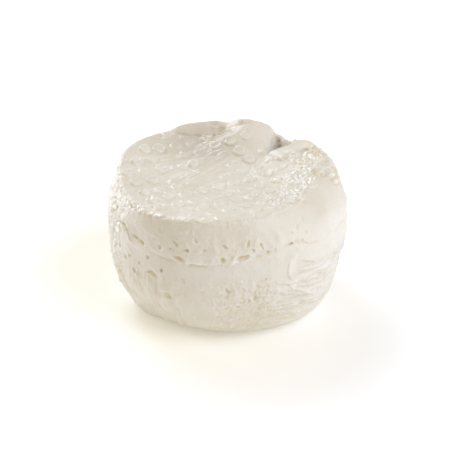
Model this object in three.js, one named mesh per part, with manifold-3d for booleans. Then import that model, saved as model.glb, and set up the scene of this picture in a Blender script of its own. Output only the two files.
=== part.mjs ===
// Fresh goat cheese: one soft drum of curd, drained in a round mould with a
// perforated floor and turned out onto its narrow end. It is a single solid.
//
// +Z is up, the drum's axis is the z axis and its base lies flat on z = 0.
// The front faces -Y. Lengths are millimetres. Angles are degrees, and an
// azimuth of 0 is at +X, 90 at the back and -90 at the front.

import * as THREE from "three";
import { mergeVertices } from "three/addons/utils/BufferGeometryUtils.js";
import Module from "manifold-3d";

const { clamp, degToRad, euclideanModulo, lerp, radToDeg, smoothstep } =
  THREE.MathUtils;

// The drum: it stands on a narrow base, swells to its belly and draws in again
// towards the rim, around a dished top.
const BASE_RADIUS = 29.2;
const BELLY_RADIUS = 40;
const BELLY_HEIGHT = 21;
const FOOT_CURVE = 1.8;
const FOOT_FULLNESS = 1.3;
const SHOULDER_START = 32;
const SHOULDER_RISE = 13;
const SHOULDER_INSET = 3;
const SHOULDER_REACH = 1.4;
const RIM_RADIUS = 36;
const RIM_HEIGHT = 45.2;
const DISH_HEIGHT = 41.8;
const RIM_ROUNDING = 2.2;
const BASE_ROUNDING = 0.9;

// Soft curd is never quite round: each swell adds a length around one azimuth
// and fades over a width in degrees.
const BASE_SWELLS = [
  { at: -160, width: 18, by: 3.2 },
  { at: -22, width: 38, by: 3.3 },
];
const SHOULDER_SWELLS = [
  { at: -34, width: 30, by: 6.6 },
  { at: -165, width: 25, by: 1 },
  { at: 160, width: 25, by: -0.8 },
];
const RIM_HEIGHT_SWELLS = [
  { at: -142, width: 32, by: -2 },
  { at: -35, width: 40, by: 1 },
  { at: 12, width: 22, by: 2.4 },
  { at: 100, width: 30, by: 0.8 },
  { at: 150, width: 40, by: 1.9 },
];
const RIM_ROUNDING_SWELLS = [
  { at: 0, width: 30, by: 3 },
  { at: 165, width: 45, by: -0.9 },
];

// Bands where one layer of curd bulges or stands back from the next.
const BANDS = [
  { at: 180, width: 40, by: 0.3, rise: [4, 12], fall: [22, 30] },
  { at: 0, width: 35, by: -0.9, rise: [6, 15], fall: [19, 23] },
  { at: 0, width: 30, by: 0.45, rise: [23, 26], fall: [31, 32.5] },
];

// The top at the back: a smooth lip behind a straight crease, a lump beside it
// that ends in a round nose, then a narrow valley and a rounded tongue of curd.
const LIP = {
  crease: 28.6,
  creaseDepth: 0.5,
  creaseWidth: 0.9,
  left: [-21.8, -18.8],
  right: [-4.5, 0.5],
  rise: 3.6,
  run: 4.5,
  longerRun: 3.5,
  runGrows: [-19, -9],
};
const CLIFF_FOOT = [[13.7, 19.5], [16.5, 31]];
const LUMP = {
  rise: 4.4,
  back: [9, 33],
  left: [-14, 3],
  leftBehind: [-5, 7],
  steepens: [22, 31],
  noseStart: -0.7,
  noseEnd: 5,
  noseShrink: 1.5,
  noseBack: 1,
};
const VALLEY = {
  depth: 7.2,
  cliffRun: [-2.2, 1.2],
  rightFade: [4, 8],
  tongueEdge: [[14.6, 17.2], [21.9, 22.6]],
  tongueRun: [-0.3, 2.4],
  rimShare: 0.95,
  rim: [33, 35.5],
};
const VALLEY_RIM = { at: 55, width: 15, drop: 1.7, start: 24, run: 10 };
const TONGUE = {
  middle: [[16.4, 15.2], [28.6, 21.9]],
  halfWidth: 4.4,
  rise: 0.9,
  growth: 0.5,
  grows: [0, 0.8],
  start: [-0.13, 0.1],
  end: [1, 1.25],
};

// Round marks that the mould's drain holes leave on the top, in square rows.
const PIMPLE_PITCH = 6.12;
const PIMPLE_TURN = -60.9;
const PIMPLE_ORIGIN = [4.8, 4.9];
const PIMPLE_RADIUS = 2.1;
const PIMPLE_HALF_HEIGHT = 0.9;
const PIMPLE_SUNK = 0.45;
const PIMPLE_FIELD = 31;
const PIMPLE_BACK = 25;
const PIMPLE_COUNT = 6;
const PIMPLE_SIDES = 7;
const PIMPLE_ROWS = 4;

// The lump slid forwards and took its marks along. Those on the broken curd
// behind and to the right of these points are gone.
const LUMP_SLIDE = { by: 2.6, back: [12, 27], right: [-3, 3] };
const BARE_CORNERS = [[8, 20], [11.5, 8], [22, -12]];

// Openings in the curd on the front: azimuth, height, width across, height,
// depth and lean to the right.
const PITS = [
  { at: -145.5, z: 35.5, wide: 2.4, tall: 6, deep: 1.6, lean: 18 },
  { at: -134.5, z: 34.5, wide: 3.4, tall: 1.6, deep: 1, lean: -20 },
  { at: -122.5, z: 35.8, wide: 2.8, tall: 2, deep: 0.9, lean: 0 },
  { at: -112, z: 33.5, wide: 5, tall: 2.2, deep: 1, lean: -12 },
  { at: -92.3, z: 34, wide: 2.4, tall: 2.4, deep: 1.2, lean: 0 },
  { at: -84, z: 34.3, wide: 5.6, tall: 2, deep: 1.1, lean: 8 },
  { at: -81.5, z: 39, wide: 1.8, tall: 3.2, deep: 0.9, lean: 10 },
  { at: -60, z: 37, wide: 3.6, tall: 1.8, deep: 0.9, lean: 12 },
  { at: -139, z: 24, wide: 3, tall: 1.6, deep: 0.9, lean: -35 },
  { at: -126.5, z: 26, wide: 3.2, tall: 1.8, deep: 0.9, lean: -20 },
  { at: -118, z: 18, wide: 3.2, tall: 2.8, deep: 1, lean: 30 },
  { at: -90, z: 23, wide: 2.6, tall: 2, deep: 0.9, lean: 0 },
];
const PIT_SIDES = 8;
const PIT_ROWS = 4;

// Facets: the spacing round the drum is closest near one azimuth.
const CORE_HEIGHT = 8;
const SEGMENTS = 76;
const CLOSEST_AZIMUTH = 50;
const CLOSENESS = 0.4;
const SIDE_LOW = 18;
const SIDE_HIGH = 36;
const BASE_ROWS = 2;
const FOOT_ROWS = 7;
const SIDE_ROWS = 5;
const SHOULDER_ROWS = 4;
const TOP_ROWS = 14;
const SEARCH_FROM = 5;
const SEARCH_TO = 70;
const SEARCH_STEPS = 36;
const WELD_DISTANCE = 1e-4;

// One at an azimuth and falling to nothing over a width on both sides of it.
function bell(azimuth, at, width) {
  const away = euclideanModulo(azimuth - at + 180, 360) - 180;
  return Math.exp(-((away / width) ** 2));
}

function swell(swells, azimuth) {
  return swells.reduce((sum, s) => sum + s.by * bell(azimuth, s.at, s.width), 0);
}

// Rises steeply from nothing and levels off at one, as a quarter circle does.
function quarterRound(value, low, high) {
  const share = clamp((value - low) / (high - low), 0, 1);
  return Math.sqrt(1 - (1 - share) ** 2);
}

// Where a point lies beside the line from one point to another: the share
// along it, and how far to its side the point is, left being plus.
function beside(x, y, [ax, ay], [bx, by]) {
  const dx = bx - ax;
  const dy = by - ay;
  const length = Math.hypot(dx, dy);
  const share = ((x - ax) * dx + (y - ay) * dy) / length ** 2;
  const side = ((y - ay) * dx - (x - ax) * dy) / length;
  return { share, side };
}

function footShare(z) {
  const below = clamp(1 - z / BELLY_HEIGHT, 0, 1);
  return (1 - below ** FOOT_CURVE) ** (1 / FOOT_FULLNESS);
}

function bandOffset(band, azimuth, z) {
  const within =
    smoothstep(z, ...band.rise) * (1 - smoothstep(z, ...band.fall));
  return band.by * bell(azimuth, band.at, band.width) * within;
}

function wallRadius(azimuth, z) {
  const base = BASE_RADIUS + swell(BASE_SWELLS, azimuth);
  const inset = SHOULDER_INSET + swell(SHOULDER_SWELLS, azimuth);
  const above = clamp((z - SHOULDER_START) / SHOULDER_RISE, 0, SHOULDER_REACH);
  const bands = BANDS.reduce((sum, b) => sum + bandOffset(b, azimuth, z), 0);
  return base + (BELLY_RADIUS - base) * footShare(z) - inset * above ** 2 + bands;
}

function lipHeight(x, y) {
  const behind = y - LIP.crease;
  const across = smoothstep(x, ...LIP.left) * (1 - smoothstep(x, ...LIP.right));
  const run = LIP.run + LIP.longerRun * smoothstep(x, ...LIP.runGrows);
  const crease = LIP.creaseDepth * Math.exp(-((behind / LIP.creaseWidth) ** 2));
  return across * (LIP.rise * smoothstep(behind, 0, run) - crease);
}

function lumpHeight(x, y) {
  const { side } = beside(x, y, ...CLIFF_FOOT);
  const behind = smoothstep(y, ...LUMP.steepens);
  const [leftStart, leftEnd] = [0, 1].map((i) => lerp(LUMP.left[i], LUMP.leftBehind[i], behind));
  const left = smoothstep(x, leftStart, leftEnd);
  const noseEnd = LUMP.noseEnd - LUMP.noseShrink * behind;
  const nose = quarterRound(side - LUMP.noseBack * behind, LUMP.noseStart, noseEnd);
  return LUMP.rise * smoothstep(y, ...LUMP.back) * left * nose;
}

function valleyDepth(x, y) {
  const cliffSide = beside(x, y, ...CLIFF_FOOT).side;
  const tongueSide = beside(x, y, ...VALLEY.tongueEdge).side;
  const left = 1 - quarterRound(cliffSide, ...VALLEY.cliffRun);
  const right = 1 - smoothstep(-cliffSide, ...VALLEY.rightFade);
  const front = smoothstep(tongueSide, ...VALLEY.tongueRun);
  const back = 1 - VALLEY.rimShare * smoothstep(Math.hypot(x, y), ...VALLEY.rim);
  return VALLEY.depth * left * right * front * back;
}

function tongueHeight(x, y) {
  const { share, side } = beside(x, y, ...TONGUE.middle);
  const ends = smoothstep(share, ...TONGUE.start) * (1 - smoothstep(share, ...TONGUE.end));
  const height = TONGUE.rise + TONGUE.growth * smoothstep(share, ...TONGUE.grows);
  return height * ends * quarterRound(TONGUE.halfWidth - Math.abs(side), 0, TONGUE.halfWidth);
}

function topHeight(x, y) {
  const azimuth = radToDeg(Math.atan2(y, x));
  const radius = Math.hypot(x, y);
  const rim = RIM_HEIGHT + swell(RIM_HEIGHT_SWELLS, azimuth);
  const dished = DISH_HEIGHT + (rim - DISH_HEIGHT) * (radius / RIM_RADIUS) ** 2;
  const outward = smoothstep(radius, VALLEY_RIM.start, VALLEY_RIM.start + VALLEY_RIM.run);
  const drop = VALLEY_RIM.drop * bell(azimuth, VALLEY_RIM.at, VALLEY_RIM.width) * outward;
  return (
    dished - drop + lipHeight(x, y) + lumpHeight(x, y) - valleyDepth(x, y) + tongueHeight(x, y)
  );
}

// The larger of two distances, with the corner between them rounded.
function softMax(a, b, rounding) {
  const share = Math.max(rounding - Math.abs(a - b), 0) / rounding;
  return Math.max(a, b) + (share * share * rounding) / 4;
}

// Below zero inside the cheese and above zero outside it.
function distanceOut(x, y, z) {
  const azimuth = radToDeg(Math.atan2(y, x));
  const beyondWall = Math.hypot(x, y) - wallRadius(azimuth, z);
  const aboveTop = z - topHeight(x, y);
  const rounding = RIM_ROUNDING + swell(RIM_ROUNDING_SWELLS, azimuth);
  return softMax(softMax(beyondWall, aboveTop, rounding), -z, BASE_ROUNDING);
}

// Where the line from the core in a direction leaves the cheese.
function surfacePoint(core, direction) {
  let inside = SEARCH_FROM;
  let outside = SEARCH_TO;
  const point = new THREE.Vector3();
  for (let step = 0; step < SEARCH_STEPS; step++) {
    const middle = (inside + outside) / 2;
    point.copy(direction).multiplyScalar(middle).add(core);
    if (distanceOut(point.x, point.y, point.z) < 0) inside = middle;
    else outside = middle;
  }
  return point;
}

// The plain outline that sets how the facets are spread, from the middle of
// the base round to the middle of the top.
function facetOutline() {
  const corners = [
    [0, 0, BASE_ROWS],
    [BASE_RADIUS, 0, FOOT_ROWS],
    [BELLY_RADIUS, SIDE_LOW, SIDE_ROWS],
    [BELLY_RADIUS, SIDE_HIGH, SHOULDER_ROWS],
    [RIM_RADIUS, RIM_HEIGHT, TOP_ROWS],
    [0, RIM_HEIGHT, 0],
  ].map(([radius, z, rows]) => ({ at: new THREE.Vector2(radius, z), rows }));
  const outline = [];
  for (let i = 0; i < corners.length - 1; i++) {
    const { at, rows } = corners[i];
    for (let row = 0; row < rows; row++)
      outline.push(at.clone().lerp(corners[i + 1].at, row / rows));
  }
  outline.push(corners.at(-1).at);
  return outline;
}

function closedGeometry(geometry) {
  geometry.deleteAttribute("normal");
  geometry.deleteAttribute("uv");
  return mergeVertices(geometry, WELD_DISTANCE);
}

// A plain turned drum whose every vertex is then moved onto the real surface.
function drumGeometry() {
  const lathe = new THREE.LatheGeometry(facetOutline(), SEGMENTS);
  lathe.rotateX(Math.PI / 2);
  const geometry = closedGeometry(lathe);
  const position = geometry.getAttribute("position");
  const core = new THREE.Vector3(0, 0, CORE_HEIGHT);
  const direction = new THREE.Vector3();
  const closest = degToRad(CLOSEST_AZIMUTH);
  for (let i = 0; i < position.count; i++) {
    direction.fromBufferAttribute(position, i);
    const radius = Math.hypot(direction.x, direction.y);
    const turn = Math.atan2(direction.y, direction.x);
    const azimuth = turn - CLOSENESS * Math.sin(turn - closest);
    direction.x = radius * Math.cos(azimuth);
    direction.y = radius * Math.sin(azimuth);
    direction.sub(core).normalize();
    const { x, y, z } = surfacePoint(core, direction);
    position.setXYZ(i, x, y, z);
  }
  return geometry;
}

// The height of the finished surface above a point of the plan.
function surfaceHeight(x, y) {
  let inside = CORE_HEIGHT;
  let outside = SEARCH_TO;
  for (let step = 0; step < SEARCH_STEPS; step++) {
    const middle = (inside + outside) / 2;
    if (distanceOut(x, y, middle) < 0) inside = middle;
    else outside = middle;
  }
  return inside;
}

function surfaceNormal(x, y) {
  const reach = PIMPLE_RADIUS;
  const alongX = surfaceHeight(x + reach, y) - surfaceHeight(x - reach, y);
  const alongY = surfaceHeight(x, y + reach) - surfaceHeight(x, y - reach);
  return new THREE.Vector3(-alongX, -alongY, 2 * reach).normalize();
}

function hasPimple(x, y) {
  const bare = BARE_CORNERS.some(([left, front]) => x > left && y > front);
  return Math.hypot(x, y) < PIMPLE_FIELD && y < PIMPLE_BACK && !bare;
}

function slideForwards(x, y) {
  return LUMP_SLIDE.by * smoothstep(y, ...LUMP_SLIDE.back) * smoothstep(x, ...LUMP_SLIDE.right);
}

// Low domes on a square lattice, each one half sunk in the top.
function pimpleGeometries() {
  const along = degToRad(PIMPLE_TURN);
  const stepX = PIMPLE_PITCH * Math.cos(along);
  const stepY = PIMPLE_PITCH * Math.sin(along);
  const up = new THREE.Vector3(0, 1, 0);
  const pimples = [];
  for (let i = -PIMPLE_COUNT; i <= PIMPLE_COUNT; i++) {
    for (let j = -PIMPLE_COUNT; j <= PIMPLE_COUNT; j++) {
      const x = PIMPLE_ORIGIN[0] + i * stepX + j * stepY;
      const latticeY = PIMPLE_ORIGIN[1] + i * stepY - j * stepX;
      const y = latticeY - slideForwards(x, latticeY);
      if (!hasPimple(x, y)) continue;
      const normal = surfaceNormal(x, y);
      const centre = new THREE.Vector3(x, y, surfaceHeight(x, y));
      const dome = new THREE.SphereGeometry(1, PIMPLE_SIDES, PIMPLE_ROWS);
      dome.scale(PIMPLE_RADIUS, PIMPLE_HALF_HEIGHT, PIMPLE_RADIUS);
      dome.applyQuaternion(new THREE.Quaternion().setFromUnitVectors(up, normal));
      centre.addScaledVector(normal, -PIMPLE_SUNK);
      pimples.push(dome.translate(centre.x, centre.y, centre.z));
    }
  }
  return pimples;
}

// The ellipsoid that opens one pit: it is sunk half way into the wall.
function pitGeometry({ at, z, wide, tall, deep, lean }) {
  const pit = new THREE.SphereGeometry(1, PIT_SIDES, PIT_ROWS);
  pit.rotateX(Math.PI / 2);
  pit.scale(deep, wide / 2, tall / 2);
  pit.rotateX(degToRad(-lean));
  pit.translate(wallRadius(at, z), 0, z);
  return pit.rotateZ(degToRad(at));
}

const wasm = await Module();
wasm.setup();

function solidOf(geometry) {
  const closed = geometry.index && !geometry.hasAttribute("normal")
    ? geometry
    : closedGeometry(geometry);
  return new wasm.Manifold(
    new wasm.Mesh({
      numProp: 3,
      vertProperties: closed.getAttribute("position").array,
      triVerts: new Uint32Array(closed.index.array),
    }),
  );
}

function geometryOf(solid) {
  const { vertProperties, triVerts } = solid.getMesh();
  const geometry = new THREE.BufferGeometry();
  geometry.setAttribute("position", new THREE.BufferAttribute(vertProperties, 3));
  geometry.setIndex(new THREE.BufferAttribute(triVerts, 1));
  geometry.computeVertexNormals();
  return geometry;
}

function cheeseGeometry() {
  let solid = solidOf(drumGeometry());
  for (const pimple of pimpleGeometries()) solid = solid.add(solidOf(pimple));
  for (const pit of PITS) solid = solid.subtract(solidOf(pitGeometry(pit)));
  return geometryOf(solid);
}

const freshCurd = new THREE.MeshStandardMaterial({
  color: "#efe9da",
  roughness: 0.5,
  metalness: 0,
});

const cheese = new THREE.Mesh(cheeseGeometry(), freshCurd);
cheese.name = "cheese";

const goatCheese = new THREE.Group();
goatCheese.name = "fresh_goat_cheese";
goatCheese.add(cheese);

export default goatCheese;
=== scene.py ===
"""Fresh goat cheese: a soft drum of curd with the marks of the mould that drained it.

The form is worked out in millimetres in the part's own frame, with azimuths in degrees: 0 at +X,
90 at the back and -90 at the front. A smooth drum is made first, then remeshed evenly, and every
mark in the curd is sculpted into that mesh. Only the finished mesh is scaled to metres.
"""

import itertools
import math

import bpy
import numpy as np
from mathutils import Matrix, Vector


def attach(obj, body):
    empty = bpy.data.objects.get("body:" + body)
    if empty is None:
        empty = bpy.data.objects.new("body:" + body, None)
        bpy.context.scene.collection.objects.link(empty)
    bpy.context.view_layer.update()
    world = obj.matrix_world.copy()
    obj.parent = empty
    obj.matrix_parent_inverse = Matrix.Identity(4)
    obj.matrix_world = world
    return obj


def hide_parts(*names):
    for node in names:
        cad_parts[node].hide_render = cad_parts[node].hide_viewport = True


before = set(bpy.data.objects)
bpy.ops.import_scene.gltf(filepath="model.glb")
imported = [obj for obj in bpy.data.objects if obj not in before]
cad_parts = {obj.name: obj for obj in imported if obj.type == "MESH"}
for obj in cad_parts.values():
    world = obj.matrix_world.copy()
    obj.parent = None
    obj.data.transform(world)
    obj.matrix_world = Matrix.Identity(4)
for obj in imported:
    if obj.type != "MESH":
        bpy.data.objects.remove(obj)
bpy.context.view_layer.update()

MM = 0.001

# ---- the drum
# The plain drum, before its swells.
BASE_RADIUS = 29.2
BELLY_RADIUS = 40.0
BELLY_HEIGHT = 21.0
FOOT_CURVE = 1.8
FOOT_FULLNESS = 1.3
SHOULDER_START = 32.0
SHOULDER_RISE = 13.0
SHOULDER_INSET = 3.0
SHOULDER_LIMIT = 1.4
RIM_RADIUS = 36.0
RIM_HEIGHT = 45.2
DISH_HEIGHT = 41.8
RIM_ROUNDING = 2.2
BASE_ROUNDING = 0.9
CORE_HEIGHT = 8.0

# Swells of the soft curd: azimuth, width in degrees, and how much they add.
BASE_SWELLS = [(-160, 18, 3.2), (-22, 38, 3.3)]
SHOULDER_SWELLS = [(-34, 30, 6.6), (-165, 25, 1.0), (160, 25, -0.8)]
RIM_HEIGHT_SWELLS = [(-142, 32, -2.0), (-35, 40, 1.0), (12, 22, 2.4), (100, 30, 0.8), (150, 40, 1.9)]
RIM_ROUNDING_SWELLS = [(0, 30, 3.0), (165, 45, -0.9)]

# Bands where one layer of curd bulges or stands back: azimuth, width, offset, rise and fall.
BANDS = [
    (180, 40, 0.3, (4, 12), (22, 30)),
    (0, 35, -0.9, (6, 15), (19, 23)),
    (0, 30, 0.45, (23, 26), (31, 32.5)),
]

# The first grid, the search for its points along lines from the core, and the finer meshes.
GRID_SEGMENTS = 320
GRID_ROWS = 150
SEARCH_FROM = 5.0
SEARCH_TO = 70.0
SEARCH_STEPS = 30
VOXEL = 0.31
SETTLE_STEPS = 2
SLOPE_STEP = 0.05
LEAST_SLOPE = 0.25
MOST_TRIANGLES = 196000


def smoothstep(value, low, high):
    share = np.clip((value - low) / (high - low), 0, 1)
    return share * share * (3 - 2 * share)


def quarter_round(value, low, high):
    """Rises steeply from nothing and levels off at one, as a quarter circle does."""
    share = np.clip((value - low) / (high - low), 0, 1)
    return np.sqrt(1 - (1 - share) ** 2)


def hump(value, width):
    """One at zero, falling to nothing over about two widths on both sides of it."""
    return np.exp(-((value / width) ** 2))


def bell(azimuth, at, width):
    return hump((azimuth - at + 180) % 360 - 180, width)


def swell(swells, azimuth):
    return sum(by * bell(azimuth, at, width) for at, width, by in swells)


def beside(x, y, start, end):
    """Share along a line, distance from it, and the side it is on, left being plus."""
    dx, dy = end[0] - start[0], end[1] - start[1]
    length = math.hypot(dx, dy)
    share = ((x - start[0]) * dx + (y - start[1]) * dy) / length**2
    near = np.clip(share, 0, 1)
    distance = np.hypot(x - start[0] - near * dx, y - start[1] - near * dy)
    side = ((y - start[1]) * dx - (x - start[0]) * dy) / length
    return share, distance, side


def foot_share(z):
    """Nothing at the base and one from the belly up."""
    below = np.clip(1 - z / BELLY_HEIGHT, 0, 1)
    return (1 - below**FOOT_CURVE) ** (1 / FOOT_FULLNESS)


def wall_radius(azimuth, z):
    """The side: a narrow foot, the belly, and a shoulder that leans in below the rim."""
    base = BASE_RADIUS + swell(BASE_SWELLS, azimuth)
    inset = SHOULDER_INSET + swell(SHOULDER_SWELLS, azimuth)
    above = np.clip((z - SHOULDER_START) / SHOULDER_RISE, 0, SHOULDER_LIMIT)
    radius = base + (BELLY_RADIUS - base) * foot_share(z) - inset * above**2
    for at, width, by, rise, fall in BANDS:
        level = smoothstep(z, *rise)
        radius = radius + by * bell(azimuth, at, width) * level * (1 - smoothstep(z, *fall))
    return radius


# The straight crease in front of the lip, how far the lip rises behind it, and where its ends are.
LIP_FRONT = 28.6
LIP_RISE = 3.6
LIP_LEFT_END = (-21.8, -18.8)
LIP_RIGHT_END = (-4.5, 0.5)


def lip_height(x, y):
    """The smooth lip behind the straight crease at the back left."""
    behind = y - LIP_FRONT
    across = smoothstep(x, *LIP_LEFT_END) * (1 - smoothstep(x, *LIP_RIGHT_END))
    reach = 4.5 + 3.5 * smoothstep(x, -19, -9)
    return across * LIP_RISE * smoothstep(behind, -0.2, reach)


# The foot of the lump's cliff and the tongue's back edge, with the valley between them, and the
# tongue's own middle line.
CLIFF = ((13.7, 19.5), (16.5, 31))
TONGUE_BACK = ((14.6, 17.2), (21.9, 22.6))
TONGUE = ((16.4, 15.2), (28.6, 21.9))
MOUND_RISE = 4.4
MOUND_RUN = (9, 33)
MOUND_BACK = (22, 31)
VALLEY_DEPTH = 7.2
CLIFF_RUN = (-2.2, 1.2)
VALLEY_END = (33, 35.5)
TONGUE_WIDTH = 4.4
TONGUE_HEIGHT = 0.9

# How far the rim drops behind the valley, where it does, and between which radii.
DROP = 1.7
DROP_PLACE = (55, 15)
DROP_RUN = (24, 34)


def mound_height(x, y):
    """The lump at the back: it rises from the dish and ends in a round nose on its right."""
    cliff_side = beside(x, y, *CLIFF)[2]
    behind = smoothstep(y, *MOUND_BACK)
    left_flank = smoothstep(x, -14 + 9 * behind, 3 + 4 * behind)
    nose = quarter_round(cliff_side - behind, -0.7, 5 - 1.5 * behind)
    return MOUND_RISE * smoothstep(y, *MOUND_RUN) * left_flank * nose


def valley_share(x, y):
    """One in the narrow valley between the lump's cliff and the tongue."""
    cliff_side = beside(x, y, *CLIFF)[2]
    beyond_tongue = beside(x, y, *TONGUE_BACK)[2]
    across = (1 - quarter_round(cliff_side, *CLIFF_RUN)) * (1 - smoothstep(-cliff_side, 4, 8))
    return across * smoothstep(beyond_tongue, -0.3, 2.4)


def valley_depth(x, y):
    """The valley runs out just before the wall, behind a thin rim."""
    ending = 0.95 * smoothstep(np.hypot(x, y), *VALLEY_END)
    return VALLEY_DEPTH * valley_share(x, y) * (1 - ending)


def fold_height(x, y):
    """The rounded tongue of curd between the valley and the crumbly rim."""
    share, _, side = beside(x, y, *TONGUE)
    ends = smoothstep(share, -0.13, 0.1) * (1 - smoothstep(share, 1.0, 1.25))
    height = TONGUE_HEIGHT + 0.5 * smoothstep(share, 0, 0.8)
    return height * ends * quarter_round(TONGUE_WIDTH - np.abs(side), 0, TONGUE_WIDTH)


def top_height(x, y):
    """The dished top with its raised rim, and the forms that stand on it or cut into it."""
    azimuth = np.degrees(np.arctan2(y, x))
    radius = np.hypot(x, y)
    rim = RIM_HEIGHT + swell(RIM_HEIGHT_SWELLS, azimuth)
    dished = DISH_HEIGHT + (rim - DISH_HEIGHT) * (radius / RIM_RADIUS) ** 2
    drop = DROP * bell(azimuth, *DROP_PLACE) * smoothstep(radius, *DROP_RUN)
    raised = dished - drop + lip_height(x, y) + mound_height(x, y)
    return raised - valley_depth(x, y) + fold_height(x, y)


def soft_max(a, b, rounding):
    """The larger of two values, with the edge where they meet rounded off."""
    share = np.clip(rounding - np.abs(a - b), 0, None) / rounding
    return np.maximum(a, b) + share * share * rounding / 4


def distance_out(points):
    """Below zero inside the cheese and above zero outside it."""
    x, y, z = points.T
    azimuth = np.degrees(np.arctan2(y, x))
    beyond_wall = np.hypot(x, y) - wall_radius(azimuth, z)
    above_top = z - top_height(x, y)
    rounding = RIM_ROUNDING + swell(RIM_ROUNDING_SWELLS, azimuth)
    return soft_max(soft_max(beyond_wall, above_top, rounding), -z, BASE_ROUNDING)


def drum_grid():
    """Points on the smooth drum, found along lines from its core, and the faces between them."""
    side = [(BASE_RADIUS, 0), (BELLY_RADIUS, 18), (BELLY_RADIUS, 36), (RIM_RADIUS, 45)]
    outline = np.array([(0, 0), *side, (0, 45)])
    length = np.concatenate([[0], np.cumsum(np.hypot(*np.diff(outline, axis=0).T))])
    along = np.linspace(0, length[-1], GRID_ROWS + 2)
    radius, height = (np.interp(along, length, values) for values in outline.T)
    turn = np.linspace(0, 2 * math.pi, GRID_SEGMENTS, endpoint=False)
    out, up = radius[1:-1], np.repeat(height[1:-1, None], GRID_SEGMENTS, axis=1)
    rows = np.stack([np.outer(out, np.cos(turn)), np.outer(out, np.sin(turn)), up], axis=2)
    targets = np.vstack([rows.reshape(-1, 3), (0, 0, height[0]), (0, 0, height[-1])])
    core = np.array([0, 0, CORE_HEIGHT])
    direction = targets - core
    direction /= np.linalg.norm(direction, axis=1, keepdims=True)
    inside = np.full(len(targets), SEARCH_FROM)
    outside = np.full(len(targets), SEARCH_TO)
    for _ in range(SEARCH_STEPS):
        half = (inside + outside) / 2
        within = distance_out(core + direction * half[:, None]) < 0
        inside = np.where(within, half, inside)
        outside = np.where(within, outside, half)
    points = core + direction * inside[:, None]
    return points, drum_faces()


def drum_faces():
    """Rows of four-sided faces, closed by fans of triangles at the base and the top."""
    faces = []
    last = (GRID_ROWS - 1) * GRID_SEGMENTS
    bottom = last + GRID_SEGMENTS
    for i in range(GRID_SEGMENTS):
        j = (i + 1) % GRID_SEGMENTS
        faces.append((bottom, j, i))
        faces.append((bottom + 1, last + i, last + j))
        for low in range(0, last, GRID_SEGMENTS):
            high = low + GRID_SEGMENTS
            faces.append((low + i, low + j, high + j, high + i))
    return faces


def add_object(name, data):
    made = bpy.data.objects.new(name, data)
    bpy.context.scene.collection.objects.link(made)
    return made


def mesh_object(name, points, faces):
    mesh = bpy.data.meshes.new(name)
    mesh.from_pydata([tuple(p) for p in points], [], faces)
    mesh.update()
    return add_object(name, mesh)


def apply_modifiers(made):
    """Replaces the mesh with what its modifiers make of it."""
    depsgraph = bpy.context.evaluated_depsgraph_get()
    final = bpy.data.meshes.new_from_object(made.evaluated_get(depsgraph))
    made.modifiers.clear()
    made.data = final


def even_mesh(made):
    remesh = made.modifiers.new("even", "REMESH")
    remesh.mode = "VOXEL"
    remesh.voxel_size = VOXEL
    apply_modifiers(made)


def thin_out(made):
    """Drops triangles where the surface is plain, so that the marks keep theirs."""
    decimate = made.modifiers.new("thin", "DECIMATE")
    triangles = 2 * len(made.data.polygons)
    decimate.ratio = MOST_TRIANGLES / triangles
    decimate.use_collapse_triangulate = True
    apply_modifiers(made)


def read_vectors(values, field):
    flat = np.empty(len(values) * 3)
    values.foreach_get(field, flat)
    return flat.reshape(-1, 3)


def write_points(mesh, points):
    mesh.vertices.foreach_set("co", points.ravel())
    mesh.update()


def write_shares(mesh, name, values):
    """Keeps one number a vertex, which the material reads by its name."""
    layer = mesh.attributes.new(name, "FLOAT", "POINT")
    layer.data.foreach_set("value", np.clip(values, 0, 1))


def form_gradient(points):
    """Which way is outwards at each point."""
    columns = []
    for axis in np.eye(3) * SLOPE_STEP:
        change = distance_out(points + axis) - distance_out(points - axis)
        columns.append(change / (2 * SLOPE_STEP))
    return np.stack(columns, axis=1)


def settle_on_form(points):
    """Takes out the remesh's small steps: each point moves back onto the drum's own surface."""
    for _ in range(SETTLE_STEPS):
        slope = form_gradient(points)
        size = np.maximum((slope**2).sum(axis=1), LEAST_SLOPE)
        move = -distance_out(points)[:, None] * slope / size[:, None]
        points = points + np.clip(move, -VOXEL, VOXEL)
    return points


# ---- noise
NOISE_ENTRIES = 4096
NOISE_GAIN = 1.6
GRAIN_REACH = 0.6


def noise_cells(points, cell):
    """The cell that each point is in, and its place in that cell from 0 to 1."""
    scaled = points / cell
    base = np.floor(scaled).astype(np.int64)
    return base, scaled - base


def noise_index(cells):
    """The entry of a random table that each cell uses."""
    mixed = (cells[:, 0] * 73856093) ^ (cells[:, 1] * 19349663) ^ (cells[:, 2] * 83492791)
    return mixed % NOISE_ENTRIES


def noise(points, cell, seed):
    """Smooth noise from about -1 to 1 whose features are one cell across."""
    slopes = np.random.default_rng(seed).normal(size=(NOISE_ENTRIES, 3))
    slopes /= np.linalg.norm(slopes, axis=1, keepdims=True)
    base, offset = noise_cells(points, cell)
    fade = offset**3 * (offset * (offset * 6 - 15) + 10)
    total = np.zeros(len(points))
    for corner in itertools.product((0, 1), repeat=3):
        corner = np.array(corner)
        weight = np.prod(np.where(corner == 1, fade, 1 - fade), axis=1)
        slope = slopes[noise_index(base + corner)]
        total += weight * ((offset - corner) * slope).sum(axis=1)
    return total * NOISE_GAIN


def fine_grooves(points, cell, seed, width=0.22):
    """Thin winding grooves about one cell apart: minus one in a groove and zero beside it."""
    return -hump(noise(points, cell, seed), width)


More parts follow.
